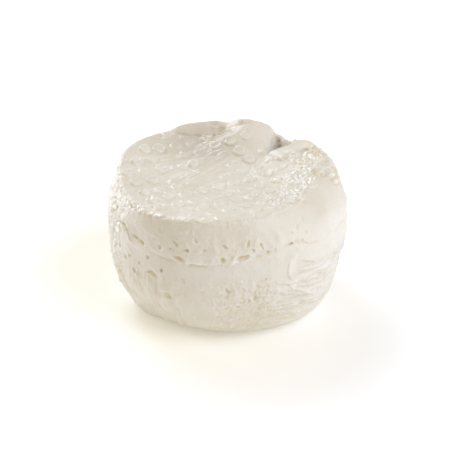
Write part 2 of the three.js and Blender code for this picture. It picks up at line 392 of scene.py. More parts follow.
def grains(points, size, seed, level=0):
    """Rounded grains side by side: one in a grain's middle and zero between them, less a level."""
    jitter = np.random.default_rng(seed).uniform(0.1, 0.9, size=(NOISE_ENTRIES, 3))
    base, offset = noise_cells(points, size)
    nearest = np.full(len(points), 4.0)
    for neighbour in itertools.product((-1, 0, 1), repeat=3):
        neighbour = np.array(neighbour)
        place = neighbour + jitter[noise_index(base + neighbour)]
        nearest = np.minimum(nearest, ((offset - place) ** 2).sum(axis=1))
    return 1 - np.clip(nearest / GRAIN_REACH, 0, 1) - level


def relief_where(strength, points, relief, *values):
    """A relief worked out only where its strength counts, and scaled by it."""
    offset = np.zeros(len(points))
    near = strength > 0.01
    offset[near] = strength[near] * relief(points[near], *values)
    return offset


def polyline_distance(u, v, places):
    """Distance from a line of points."""
    nearest = np.full(len(u), 1e3)
    for start, end in itertools.pairwise(places):
        nearest = np.minimum(nearest, beside(u, v, start, end)[1])
    return nearest


# ---- marks in the wall
# The radius at which distances round the wall are measured.
WALL_UNROLL = 38.0

# Open pits: azimuth, height, width, height of the opening, depth and lean.
PITS = [
    (-143.2, 34.4, 3.4, 1.7, 1.2, -48), (-141.2, 32.8, 2.6, 1.4, 1.1, -62),
    (-122.2, 34.6, 2.0, 2.0, 0.95, 0), (-116.4, 35.0, 1.3, 1.3, 0.45, 0),
    (-114.4, 37.0, 3.2, 1.2, 0.7, -42), (-108.7, 35.5, 1.3, 1.6, 1.0, 0), (-105.0, 38.9, 1.6, 1.6, 0.6, 25),
    (-100.9, 36.0, 1.7, 1.0, 0.45, 20), (-112.2, 32.2, 3.9, 1.8, 1.1, -22),
    (-129.5, 29.2, 1.5, 1.8, 0.9, 0), (-135.2, 25.5, 1.2, 1.2, 0.6, 0), (-138.8, 21.8, 2.6, 1.0, 0.7, -50),
    (-126.4, 23.7, 2.6, 1.8, 0.55, -15), (-121.6, 26.4, 1.2, 1.6, 1.2, 10),
    (-120.4, 23.3, 0.8, 0.8, 0.6, 0), (-145.8, 24.8, 2.0, 0.9, 0.7, -50), (-142.2, 26.1, 0.9, 1.4, 0.6, 0),
    (-91.4, 37.4, 2.6, 1.0, 0.9, -38), (-92.2, 33.3, 2.0, 2.4, 1.15, 0), (-101.2, 31.4, 1.0, 0.7, 0.5, 0),
    (-118.3, 17.3, 2.6, 3.2, 0.8, 20), (-114.0, 18.7, 2.2, 0.9, 0.35, 0), (-110.8, 24.3, 2.0, 2.0, 0.4, 0),
    (-101.7, 21.0, 2.0, 1.2, 0.4, 0), (-90.3, 22.0, 1.6, 2.0, 0.7, 15), (-80.9, 38.1, 2.8, 1.1, 1.0, 62),
    (-74.7, 37.0, 1.1, 2.3, 0.8, 10), (-78.6, 36.1, 1.1, 1.0, 0.75, 0), (-83.4, 33.8, 4.8, 1.9, 1.2, 14),
    (-59.5, 35.7, 2.0, 1.1, 1.1, 10), (-71.6, 34.9, 1.8, 0.9, 0.75, 12), (-68.2, 35.5, 1.0, 0.8, 0.6, 0),
    (-53.5, 35.9, 1.1, 0.8, 0.8, 0), (-51.0, 34.2, 0.9, 0.9, 0.6, 0), (-48.9, 40.9, 1.1, 1.6, 0.45, -10),
    (-53.8, 39.9, 1.1, 1.5, 0.55, -15), (-58.2, 39.0, 1.1, 1.0, 0.45, 0), (-50.2, 37.5, 1.7, 1.1, 0.5, 15),
    (-63.4, 40.7, 0.7, 0.7, 0.4, 0), (-67.0, 43.2, 0.8, 0.8, 0.35, 0), (-54.7, 16.1, 1.3, 0.9, 0.45, 0),
    (-28.7, 31.9, 1.4, 2.0, 0.25, 20),
]

# A curved slit, which is both a crack and a shelf.
SLIT = [(-129.3, 24.1), (-126.7, 24.9), (-125.4, 24.3), (-124.4, 22.9)]

# Cracks and creases: points as azimuth and height, then width and depth.
CRACKS = [
    ([(-148, 36.6), (-145.6, 35.8), (-143, 34.6)], 0.5, 0.8),
    ([(-138.4, 34.7), (-136.2, 34.3)], 0.4, 0.5),
    ([(-134.5, 34.0), (-132.2, 33.4)], 0.4, 0.6),
    (SLIT, 0.35, 0.5),
    ([(-76.8, 33.9), (-71.6, 34.8), (-65.8, 35.8), (-63.2, 36), (-59.3, 35.6), (-55.8, 36.7)], 0.3, 0.25),
    ([(-57.3, 36.1), (-54.1, 35.6), (-50.8, 34.1), (-47.1, 33.6), (-43, 33.4)], 0.35, 0.25),
]

# Shelves, where the curd on the left of a line of points stands out over the other side:
# points as azimuth and height, then how far it stands out and how far back that reaches.
SHELVES = [
    ([(-148.3, 36.6), (-145.3, 35.6), (-142.8, 34.4), (-141.7, 33.0), (-140.3, 31.7)], 0.5, 1.5),
    (SLIT, 0.35, 1.2),
    ([(-61.3, 28), (-61.5, 25.7), (-60, 23.3), (-57.6, 21.8), (-53.7, 21.2)], 0.38, 2.5),
    ([(-60.1, 20.6), (-57.8, 18.9), (-54.1, 17.4), (-50.5, 15.9)], 0.38, 2.0),
    ([(-120.2, 18.3), (-117.4, 18.5), (-116.8, 16.6), (-115.6, 14.6)], 0.45, 1.5),
    ([(-113.2, 33.4), (-109.8, 32.6), (-107, 31.6), (-101, 31.3)], 0.25, 1.5),
    ([(-88.5, 31.8), (-85, 32.2), (-81, 33.2)], 0.3, 1.2),
]

# Small raised lumps: azimuth, height, radius and how far they stand out.
LUMPS = [
    (-88.1, 32.8, 1.3, 0.5), (-86.6, 34.0, 0.8, 0.4), (-96.5, 17.2, 0.6, 0.4), (-96.6, 15.9, 0.6, 0.4),
    (-101.5, 23.2, 0.9, 0.3), (-104.4, 24.0, 0.6, 0.3), (-109.6, 41.2, 0.8, 0.25), (-106.6, 41.0, 0.7, 0.3),
    (-95.4, 36.2, 1.6, 0.35), (-77.0, 38.4, 1.5, 0.35), (-58.5, 31.4, 1.6, 0.3), (-65.0, 38.0, 2.0, 0.3),
    (-55.5, 33.4, 1.7, 0.35),
]

# The two seams between layers of curd: azimuth and height.
UPPER_SEAM = [
    (-180, 33.5), (-150, 35.5), (-140, 32.5), (-112, 31.2), (-98, 31.2), (-88, 32.6), (-77, 33.9),
    (-68, 35.4), (-57, 36.3), (-50, 34.2), (-44, 33.4), (-17, 33.4), (20, 34), (60, 32), (100, 34.5),
    (140, 33),
]
LOWER_SEAM = [
    (-62, 30), (-54, 29.1), (-50, 27.7), (-46, 26.5), (-38, 25.2), (-30, 24.4), (-16, 21.4), (15, 20),
    (60, 22), (100, 19), (140, 17), (180, 20),
]

# How many small pits are drawn, and the azimuths between which the front has its own.
SCATTERED_COUNT = 260
GRANULAR_COUNT = 80
FRONT_LEFT = -145
FRONT_MIDDLE = -75
FRONT_RIGHT = 12


def along_wall(azimuth):
    """Millimetres round the wall, measured from the front to the right."""
    return np.radians((azimuth + 90 + 180) % 360 - 180) * WALL_UNROLL


def on_wall(places):
    """Points given as azimuth and height, laid out flat."""
    return [(along_wall(azimuth), height) for azimuth, height in places]


def zone(azimuth, z, turn, heights, soft=6.0, fade=2.5):
    """One inside a patch of the wall, given by two azimuths and two heights, and less round it."""
    middle, half = (turn[0] + turn[1]) / 2, (turn[1] - turn[0]) / 2
    away = np.abs((azimuth - middle + 180) % 360 - 180)
    across = 1 - smoothstep(away, half - soft, half + soft)
    above = smoothstep(z, heights[0] - fade, heights[0] + fade)
    return across * above * (1 - smoothstep(z, heights[1] - fade, heights[1] + fade))


def pit_offset(u, z, pit):
    """An opening whose upper edge is steep and whose floor runs out gently below."""
    at, height, wide, tall, deep, lean = pit
    du, dz = u - along_wall(at), z - height
    cos, sin = math.cos(math.radians(lean)), math.sin(math.radians(lean))
    across = (du * cos + dz * sin) / (wide / 2)
    upward = (dz * cos - du * sin) / (tall / 2)
    reach = np.hypot(across, upward)
    rim = hump(reach - 1.3, 0.3)
    floor = 0.75 + 0.25 * np.clip(upward, -1, 1)
    return 0.14 * deep * rim - 0.75 * deep * floor * (1 - smoothstep(reach, 0.4, 1.1))


def pits_offset(u, z, pits):
    """All the pits together, each worked out only close by."""
    offset = np.zeros(len(u))
    for pit in pits:
        away = np.hypot(u - along_wall(pit[0]), z - pit[1])
        near = away < 1.2 * max(pit[2], pit[3])
        offset[near] += pit_offset(u[near], z[near], pit)
    return offset


def signed_distance(u, v, places):
    """Distance from a line of points, plus on its left and minus on its right."""
    nearest = np.full(len(u), 1e3)
    signed = nearest.copy()
    for start, end in itertools.pairwise(places):
        _, distance, side = beside(u, v, start, end)
        closer = distance < nearest
        nearest = np.where(closer, distance, nearest)
        signed = np.where(closer, np.copysign(distance, side), signed)
    return signed


def shelf_offset(u, z, shelf):
    """A step with a soft groove along its foot."""
    places, out, reach = shelf
    signed = signed_distance(u, z, on_wall(places))
    raised = smoothstep(signed, -0.3, 0.25) * np.exp(-np.abs(signed) / reach)
    return out * raised - 0.15 * out * hump(signed + 0.35, 0.35)


def crack_offset(u, z, crack):
    """A narrow groove along a line of points."""
    places, width, depth = crack
    return -depth * hump(polyline_distance(u, z, on_wall(places)), width)


def openings(points, azimuth):
    """The pits and cracks, with their outlines made ragged."""
    u, z = along_wall(azimuth), points[:, 2]
    ragged_u = u + 0.3 * noise(points, 1.5, 11) + 0.12 * noise(points, 0.7, 13)
    ragged_z = z + 0.3 * noise(points, 1.5, 12) + 0.12 * noise(points, 0.7, 14)
    offset = pits_offset(ragged_u, ragged_z, PITS + granular_pits())
    for crack in CRACKS:
        offset += crack_offset(ragged_u, ragged_z, crack)
    for shelf in SHELVES:
        offset += shelf_offset(ragged_u, ragged_z, shelf)
    return offset


def lumps_offset(points, azimuth):
    """The small raised lumps, with wavy outlines."""
    u, z = along_wall(azimuth), points[:, 2]
    wavy_u, wavy_z = u + 0.3 * noise(points, 1.6, 15), z + 0.3 * noise(points, 1.6, 16)
    offset = np.zeros(len(points))
    for at, height, radius, out in LUMPS:
        reach = np.hypot(wavy_u - along_wall(at), wavy_z - height) / radius
        offset += out * (1 - smoothstep(reach, 0.2, 1.15))
    return offset


def scattered_pits(points, azimuth):
    """Small pits all round, most of them where two layers of curd meet.

    The front keeps to the pits of the photo: at its left they are faint, and at its right left out.
    """
    rng = np.random.default_rng(5)
    pits = []
    for _ in range(SCATTERED_COUNT):
        at = rng.uniform(-180, 180)
        by_seam = rng.random() < 0.55
        seam = np.interp(at, *zip(*UPPER_SEAM), period=360)
        height = rng.normal(seam + 1.5, 2.5) if by_seam else rng.uniform(6, 41)
        wide, tall = rng.uniform(0.5, 2.4), rng.uniform(0.5, 1.4)
        deep = rng.uniform(0.2, 0.8) * min(1, (wide + tall) / 2.4)
        lean = rng.uniform(-45, 45)
        if FRONT_LEFT < at < FRONT_MIDDLE:
            wide, tall, deep = 0.45 * wide, 0.5 * tall, 0.35 * deep
        if not FRONT_MIDDLE <= at < FRONT_RIGHT:
            pits.append((at, height, wide, tall, deep, lean))
    ragged_u = along_wall(azimuth) + 0.25 * noise(points, 1.3, 17)
    ragged_z = points[:, 2] + 0.25 * noise(points, 1.3, 18)
    return pits_offset(ragged_u, ragged_z, pits)


def seam_offset(points, azimuth, seam, seed, step, groove):
    """A wavy line round the wall where the layer above stands out over the one below."""
    level = points[:, 2] - np.interp(azimuth, *zip(*seam), period=360)
    level = level + 0.5 * noise(points, 6, seed) + 0.25 * noise(points, 1.6, seed + 1)
    overhang = smoothstep(level, -0.5, 0.5) * np.exp(-np.clip(level, 0, None) / 5)
    return step * overhang - groove * hump(level + 0.3, 0.45)


def seams_offset(points, azimuth):
    """The two seams: faint at the front, clearer at the right and in patches at the back."""
    z = points[:, 2]
    patchy = smoothstep(noise(points, 9, 23), -0.35, 0.3)
    shown = zone(azimuth, z, (-78, -12), (28, 40)) * 0.35
    shown += zone(azimuth, z, (-125, -88), (26, 36)) * 0.3
    hidden = zone(azimuth, z, (-12, 220), (26, 40)) * patchy * 0.8
    notch = zone(azimuth, z, (-24, 8), (28, 38)) * 0.9
    upper = (shown + hidden + notch) * seam_offset(points, azimuth, UPPER_SEAM, 24, 0.45, 0.6)
    right = zone(azimuth, z, (-54, 30), (16, 32)) * 0.9
    behind = zone(azimuth, z, (30, 180), (12, 28)) * smoothstep(noise(points, 11, 27), -0.3, 0.3) * 0.7
    return upper + (right + behind) * seam_offset(points, azimuth, LOWER_SEAM, 28, 0.6, 0.4)


def striations(points, azimuth):
    """Fine level lines where the curd slid down inside the mould."""
    x, y, z = points.T
    dip = 0.14 * np.clip(along_wall(azimuth) - along_wall(-75), 0, 60)
    level = np.stack([x / 9, y / 9, z + dip], axis=1)
    patches = smoothstep(noise(points, 8, 31), -0.4, 0.3)
    lined = smoothstep(noise(points, 7, 34), -0.5, 0.1)
    strength = zone(azimuth, z, (-60, 10), (5, 27), soft=9) * (0.45 + 0.55 * lined)
    strength += zone(azimuth, z, (-80, -50), (3, 22)) * 0.6
    strength += zone(azimuth, z, (0, 210), (4, 40)) * patches * 0.6
    waves = relief_where(strength, level, lambda p: 0.8 * noise(p, 1.9, 32) + 0.5 * noise(p, 0.95, 33))
    grooves = relief_where(strength, level, fine_grooves, 1.3, 45)
    return 0.8 * waves + 0.6 * grooves


def dragged_streaks(points, azimuth):
    """Upright streaks low on the left, where the cheese was drawn out of its mould."""
    u, z = along_wall(azimuth), points[:, 2]
    upright = np.stack([u, z / 6, 0 * u], axis=1)
    strength = zone(azimuth, z, (-175, -108), (1, 22), soft=14, fade=5)
    strength *= 0.4 + 0.6 * smoothstep(noise(points, 6, 48), -0.4, 0.3)
    waves = relief_where(strength, upright, lambda p: 0.5 * noise(p, 2.0, 46) + 0.35 * noise(p, 0.95, 47))
    return waves + 0.35 * relief_where(strength, upright, fine_grooves, 1.8, 49)


def granular_patches(points, azimuth):
    """Patches where the grains of curd never closed up."""
    x, y, z = points.T
    patches = smoothstep(noise(points, 12, 35), 0.15, 0.55)
    wavy = azimuth + 5 * noise(points, 7, 36)
    strength = zone(wavy, z, (-98, -66), (0, 25), soft=5, fade=3)
    strength += 0.6 * zone(wavy, z, (-97, -68), (32, 39.5), soft=4, fade=1.5)
    strength += zone(azimuth, z, (10, 200), (4, 40), soft=12) * patches * 0.9
    upright = np.stack([x, y, z * 0.65], axis=1)
    coarse = relief_where(strength, upright, noise, 1.8, 37)
    middle = relief_where(strength, points, grains, 1.25, 38, 0.5)
    fine = relief_where(strength, points, noise, 0.9, 39)
    return 0.24 * coarse + 0.3 * middle + 0.14 * fine


def granular_pits():
    """Small open pits between the grains of the front's patch."""
    rng = np.random.default_rng(6)
    pits = []
    for _ in range(GRANULAR_COUNT):
        at, height = rng.normal(-81, 8), rng.normal(13, 7)
        wide, tall = rng.uniform(0.6, 1.4), rng.uniform(0.6, 1.3)
        if 2 < height < 27:
            pits.append((at, height, wide, tall, rng.uniform(0.2, 0.5), rng.uniform(-30, 60)))
    return pits


def left_edge_texture(points, azimuth):
    """Upright streaks and small grains on the left side."""
    x, y, z = points.T
    strength = zone(azimuth, z, (-186, -149), (6, 45), soft=5, fade=3)
    upright = np.stack([x, y, z / 4], axis=1)
    streaks = relief_where(strength, upright, lambda p: noise(p, 1.4, 41) + 0.6 * noise(p, 0.8, 42))
    lumps = relief_where(strength, points, noise, 2.6, 43)
    fine = relief_where(strength, points, grains, 1.0, 44, 0.5)
    return 0.2 * streaks + 0.2 * lumps + 0.34 * fine


def wall_skin(points, azimuth):
    """The soft waviness of the wall, calmer on the smooth right shoulder and under the front rim."""
    z = points[:, 2]
    calm = 0.75 * zone(azimuth, z, (-60, -10), (36, 60), soft=12)
    calm += 0.5 * zone(azimuth, z, (-118, -88), (24, 30), soft=8)
    lively = zone(azimuth, z, (-128, -50), (31, 40), soft=8)
    waves = 0.18 * noise(points, 5, 51) + (0.09 + 0.12 * lively) * noise(points, 2.4, 52)
    grainy = 1 - zone(azimuth, z, (-75, 20), (24, 60), soft=15, fade=6)
    fine = (0.05 + 0.08 * lively) * noise(points, 1.2, 53) + 0.12 * grainy * noise(points, 0.65, 54)
    return (1 - calm) * (waves + fine)


# ---- marks on the top
# The lattice of the mould's drain holes, and the size of one mark. The marks on the lump slid with it.
MARK_PITCH = 6.12
MARK_TURN = -60.9
MARK_ORIGIN = (4.8, 4.9)
MARK_COUNT = 7
MARK_JITTER = 0.15
MARK_RADIUS = 2.2
MARK_REACH = 4
MARK_HEIGHT = 1.2
FAINT_SHARE = 0.5
LUMP_SLIDE = 2.6

# The marks that kept their shape, counted along the two lines of the lattice.
CLEAR_MARKS = {
    (-4, 4), (-4, 3), (-3, 4), (-3, 5), (-2, 6), (-2, 4), (-1, 6), (-1, 5), (0, 6), (1, 6), (1, 5),
    (2, 5), (-4, 0), (-3, -1), (-3, -2), (-2, -1), (-1, -1), (0, 0), (1, 0), (1, -1), (2, 0), (2, -1),
    (3, 0), (3, 2), (2, 2), (1, 2), (1, 3), (1, 1), (4, 0), (5, 0), (-2, 2), (4, 2), (2, 6),
}

# The way the top was wiped, in degrees, and two soft oval patches, the wiped one and one of painted shade
# at the back of the top: middle, and half width each way.
SMEAR_TURN = 38.0
SMEARED_PATCH = ((-10, 3), (14, 13))
SHADE_PATCH = ((-7, 23), (17, 11))

# Raised bits on the top: x, y, radius and height.
TOP_LUMPS = [
    (-8.8, 27.6, 0.9, 0.8), (-8.0, 25.6, 0.9, 0.7), (-5.4, 26.9, 1.0, 0.7), (-4.8, 31.9, 0.8, 0.6),
    (-1.0, 29.4, 1.0, 0.9), (-2.4, 28.9, 0.8, 0.8), (0.3, 29.0, 0.8, 0.6), (0.9, 31.8, 1.1, 0.2),
    (4.3, 32.4, 0.9, 0.6), (5.6, 32.0, 0.7, 0.5), (3.2, 31.2, 0.8, 0.45), (8.6, 31.2, 0.8, 0.35),
    (27.6, 13.6, 1.8, 0.7), (30.6, 12.4, 2.4, 0.9), (34.4, 6.8, 1.7, 0.7), (31.4, 5.2, 2.0, 0.5),
    (29.9, -0.4, 2.4, 0.6), (26.4, 6.8, 1.4, 0.4), (31.2, -3.6, 1.3, 0.4), (17.0, 12.2, 0.8, 0.4),
    (18.4, 11.6, 0.6, 0.35), (-22.7, -25.6, 1.4, 0.3), (-26.0, -26.2, 0.6, 0.4), (22.2, -22.0, 1.3, 0.35),
]

# Dents: x, y, radius and depth.
TOP_DENTS = [
    (-5.2, 32.6, 2.4, 0.45), (-2.3, 31.0, 1.9, 0.9), (2.2, 27.9, 1.6, 0.35), (10.7, -33.6, 0.7, 0.5),
    (31.2, 17.9, 2.8, 1.8), (23.0, 8.2, 1.0, 0.3),
]

# Ridges and grooves: points in plan, then width and height, grooves being minus.
TOP_LINES = [
    ([(-33.8, 5.4), (-31.6, 4.7), (-29.7, 6.1), (-28.1, 8.8)], 0.55, 0.45),
    ([(-23.4, -6.8), (-19, -7.0), (-17.3, -8.9)], 0.5, 0.2),
    ([(-17.1, -6.8), (-12.5, -5.2), (-8.3, -2.1)], 0.6, 0.22),
    ([(-7, 4.8), (-4, 8), (-1.3, 10.5)], 0.6, 0.22),
    ([(-13.9, -10), (-10.2, -6)], 0.6, 0.2),
    ([(-20.4, -30.1), (-18.1, -27.6)], 0.5, 0.3),
    ([(-14.6, -29.6), (-11, -30.2)], 0.7, 0.25),
    ([(4.3, -8.4), (7.6, -7.9)], 0.45, -0.35),
    ([(4.0, 30.4), (5.8, 30.8), (7.9, 31)], 0.35, -0.7),
    ([(-18, 28.3), (-14, 28.1), (-10, 28.6), (-4.6, 29.2)], 0.45, -0.8),
    ([(12.4, 16.9), (14, 14.4), (15.5, 12.2)], 1.4, 0.85),
    ([(16.2, 12.5), (17.2, 11.2), (19.2, 10.7), (21.4, 11.4), (23.2, 12.4), (24.7, 13.6)], 0.45, -0.4),
    ([(24.7, 13.6), (25.9, 15.2), (26.8, 16), (29.4, 15), (31, 14.6)], 0.5, -0.45),
    ([(33, 8.4), (33.3, 7.2), (33.9, 6)], 0.45, -0.6),
    ([(27.4, -1.6), (28, -2.7), (28.9, -4.4), (30.4, -5.1)], 0.45, -0.55),
]

# Where the dried skin of the top ends: azimuth and distance from the axis.
SKIN_EDGE = [
    (-150, 37.6), (-124, 36.8), (-114, 35.0), (-109, 35.8), (-98, 36.4), (-89, 36.5), (-79, 35.4),
    (-72, 34.9), (-58, 33.4), (-46, 32.6), (-36, 30.8), (-23, 29.8), (-10, 30.6), (0, 33), (10, 38),
]


def clear_share(i, j, x, y, luck):
    """How well one mark has survived: gone on the lip, the cliff, the tongue and the rim."""
    on_lip_or_rim = y > 28 or math.hypot(x, y) > 34
    on_tongue = x > 11.5 and y > 8
    on_cliff = x > 6.8 and y > 16
    if on_lip_or_rim or on_tongue or on_cliff:
        return 0
    if (i, j) in CLEAR_MARKS:
        return 0.8 + 0.3 * luck
    wiped = -22 < x < 0 and -10 < y < 16
    return FAINT_SHARE * (0.4 + luck) * (0.35 if wiped else 1)


def along_smear(x, y):
    """Distances along and across the way the top was wiped."""
    turn = math.radians(SMEAR_TURN)
    return x * math.cos(turn) + y * math.sin(turn), y * math.cos(turn) - x * math.sin(turn)


def drain_marks(x, y):
    """Low discs with a raised rim, pressed by the mould's drain holes, on a square lattice.

    Gives how far they stand out, and the share of their rims, which carry a painted highlight, brightest at
    the back left.
    """
    rng = np.random.default_rng(8)
    turn = math.radians(MARK_TURN)
    step_x, step_y = MARK_PITCH * math.cos(turn), MARK_PITCH * math.sin(turn)
    offset, rims = np.zeros(len(x)), np.zeros(len(x))
    for i, j in itertools.product(range(-MARK_COUNT, MARK_COUNT + 1), repeat=2):
        at_x = MARK_ORIGIN[0] + i * step_x + j * step_y + rng.normal(0, MARK_JITTER)
        at_y = MARK_ORIGIN[1] + i * step_y - j * step_x + rng.normal(0, MARK_JITTER)
        at_y -= LUMP_SLIDE * smoothstep(at_y, 12, 27) * smoothstep(at_x, -3, 3)
        clear = clear_share(i, j, at_x, at_y, rng.uniform())
        radius = MARK_RADIUS * rng.uniform(0.9, 1.02)
        squeeze = 0.78 if at_x > 6 and at_y < 12 else 0.97
        near = np.hypot(x - at_x, y - at_y) < MARK_REACH
        dx, dy = x[near] - at_x, y[near] - at_y
        along, across = along_smear(dx, dy)
        reach = np.hypot(along * 0.95, across / squeeze) / radius
        groove = hump(reach - 1.12, 0.14)
        plateau = 1 - smoothstep(reach, 0.8, 1.04)
        ring = hump(reach - 0.88, 0.13)
        # The back-left edge stands highest, and its painted highlight is brightest there.
        back_left = (dy - dx) / (np.hypot(dx, dy) + 0.3) / math.sqrt(2)
        ring = ring * (0.9 + 0.55 * back_left)
        offset[near] += MARK_HEIGHT * clear * (0.5 * plateau + 0.34 * ring - 0.15 * groove)
        # Painted highlight: the rim whitens most, and the disc a little.
        rims[near] += clear * (1.3 * ring + 0.3 * plateau)
    return offset, rims


def patch(x, y, middle, half):
    """One in the middle of a soft oval patch, falling to nothing round it."""
    return np.exp(-(((x - middle[0]) / half[0]) ** 2) - ((y - middle[1]) / half[1]) ** 2)


def drawn_out(points, stretch):
    """Points in a frame where a relief comes out stretched the way the top was wiped."""
    x, y, z = points.T
    along, across = along_smear(x, y)
    return np.stack([along / stretch, across, z], axis=1)


def smears(points):
    """Streaks drawn across the top when it was wiped."""
    x, y, _ = points.T
    streaked = drawn_out(points, 4)
    strength = 0.2 + 0.8 * patch(x, y, *SMEARED_PATCH)
    return strength * (0.4 * noise(streaked, 2.0, 61) + 0.34 * noise(streaked, 1.0, 62))


def top_details(points):
    """The single lumps, dents, ridges and grooves of the top, with ragged outlines."""
    x = points[:, 0] + 0.25 * noise(points, 1.4, 63) + 0.1 * noise(points, 0.7, 65)
    y = points[:, 1] + 0.25 * noise(points, 1.4, 64) + 0.1 * noise(points, 0.7, 66)
    offset = np.zeros(len(points))
    for at_x, at_y, radius, height in TOP_LUMPS:
        offset += height * (1 - smoothstep(np.hypot(x - at_x, y - at_y) / radius, 0.15, 1.2))
    for at_x, at_y, radius, depth in TOP_DENTS:
        offset -= depth * (1 - smoothstep(np.hypot(x - at_x, y - at_y) / radius, 0.2, 1.1))
    for places, width, height in TOP_LINES:
        offset += height * hump(polyline_distance(x, y, places), width)
    return offset


def inside_skin(points, azimuth):
    """Millimetres inwards from the ragged edge of the dried skin."""
    edge = np.interp(azimuth, *zip(*SKIN_EDGE), left=40, right=40)
    ragged = 0.5 * noise(points, 2.4, 67) + 0.3 * noise(points, 1.0, 68)
    return edge + ragged - np.hypot(points[:, 0], points[:, 1])


def smooth_share(x, y):
    """One on the lip, on the lump and on the tongue, where the skin is smooth."""
    lip = 0.55 * smoothstep(y, 28, 29) * (1 - smoothstep(x, -6, -2))
    lump = smoothstep(x, -4, -1) * smoothstep(y, 14, 17)
    return np.clip(lip + lump + smoothstep(fold_height(x, y), 0.1, 0.6), 0, 1)


def granules(points):
    """Little grains of curd lying in loose patches on the top."""
    patches = smoothstep(noise(points, 5, 73), 0.1, 0.4)
    spots = relief_where(patches, points, grains, 1.3, 74)
    return 0.28 * smoothstep(spots, 0.5, 0.95)


def skin_edge(points, azimuth):
    """The thin ragged step at the edge of the dried skin."""
    inside = inside_skin(points, azimuth)
    step = 0.1 + 0.28 * smoothstep(azimuth, -85, -60)
    return step * smoothstep(inside, -0.2, 0.3) * np.exp(-np.clip(inside, 0, None) / 3)


def crust_strength(points, azimuth):
    """The rough, shiny patch of skin at the front right."""
    radius = np.hypot(points[:, 0], points[:, 1])
    on_skin = smoothstep(inside_skin(points, azimuth), -0.2, 1)
    return zone(azimuth, radius, (-60, 6), (20.5, 40), soft=7) * on_skin


def crumbly_strength(points, azimuth):
    """The broken rim at the right, and the crest of the lump."""
    x, y, _ = points.T
    radius = np.hypot(x, y)
    on_tongue = smoothstep(fold_height(x, y), 0.3, 1.2)
    rim = zone(azimuth, radius, (-10, 42), (24, 45)) * (1 - 0.8 * on_tongue)
    crest = 0.3 * smoothstep(y, 28.5, 31) * smoothstep(x, 1, 4) * (1 - smoothstep(x, 12, 15))
    return np.clip(rim + crest, 0, 1)


def rim_strength(points, azimuth, past_rim):
    """Crumbs right on the rim, most of them at the left, and along the skin's edge at the front."""
    at_rim = hump(past_rim, 1.3)
    left = bell(azimuth, -172, 40)
    front = 0.55 * bell(azimuth, -138, 20) + 0.25 * bell(azimuth, -98, 22)
    patches = 0.6 * smoothstep(noise(points, 7, 71), 0, 0.5)
    at_skin = hump(inside_skin(points, azimuth), 0.7) * bell(azimuth, -96, 30)
    return np.clip(at_rim * (left + front + patches) + 0.4 * at_skin, 0, 1)


def crumbs(points, strength, size, height, seed):
    """Crumbs of two sizes."""
    coarse = relief_where(strength, points, grains, size, seed, 0.4)
    fine = relief_where(strength, points, grains, size / 2, seed + 1, 0.4)
    return height * (coarse + 0.5 * fine)


def torn_skin(points, strength):
    """Small folds and creases of torn skin on the broken rim, with loose bits."""
    streaked = drawn_out(points, 2.2)
    folds = relief_where(strength, streaked, grains, 1.6, 85, 0.4)
    creases = relief_where(strength, streaked, fine_grooves, 1.7, 86, 0.3)
    bits = relief_where(strength, points, grains, 0.85, 89, 0.4)
    uneven = 0.5 + 0.6 * smoothstep(noise(points, 4, 94), -0.4, 0.4)
    swells = strength * noise(points, 5, 95)
    return uneven * (0.8 * folds + 0.45 * creases + 0.4 * bits) + 0.4 * swells


def past_the_rim(points, azimuth):
    """Below zero on the wall's side of the rim and above zero on the top's side."""
    x, y, z = points.T
    beyond_wall = np.hypot(x, y) - wall_radius(azimuth, z)
    return z - top_height(x, y) - beyond_wall


# ---- the sculpted surface
# Where the side's relief gives way to the top's, and how far up the flat base keeps its edge.
RIM_BLEND = (-1.2, 0.6)
BASE_FADE = 0.7


def side_relief(points, azimuth):
    """The wall's relief by kind: open marks, rough patches, seams, fine lines, and the soft skin."""
    open_marks = openings(points, azimuth) + scattered_pits(points, azimuth)
    rough = granular_patches(points, azimuth)
    seams = seams_offset(points, azimuth)
    side = open_marks + rough + seams + lumps_offset(points, azimuth) + wall_skin(points, azimuth)
    fine = striations(points, azimuth) + left_edge_texture(points, azimuth)
    fine += dragged_streaks(points, azimuth)
    return open_marks, rough, seams, fine, side + fine


def shaded_share(x, y, top):
    """Painted grey shade in the far part of the valley, and a patch of painted shade in front of the lip's
    crease, where the top is lit less.
    """
    radius = np.hypot(x, y)
    far = smoothstep(radius, 26, 32) * (1 - smoothstep(radius, 35.2, 36.2))
    valley = top * smoothstep(valley_share(x, y), 0.04, 0.35) * far
    # Painted shade: the back of the top is greyed where it is lit less.
    blotch = patch(x, y, *SHADE_PATCH)
    return np.maximum(valley, 0.62 * top * blotch * (1 - 0.6 * smoothstep(x, -2, 6)))


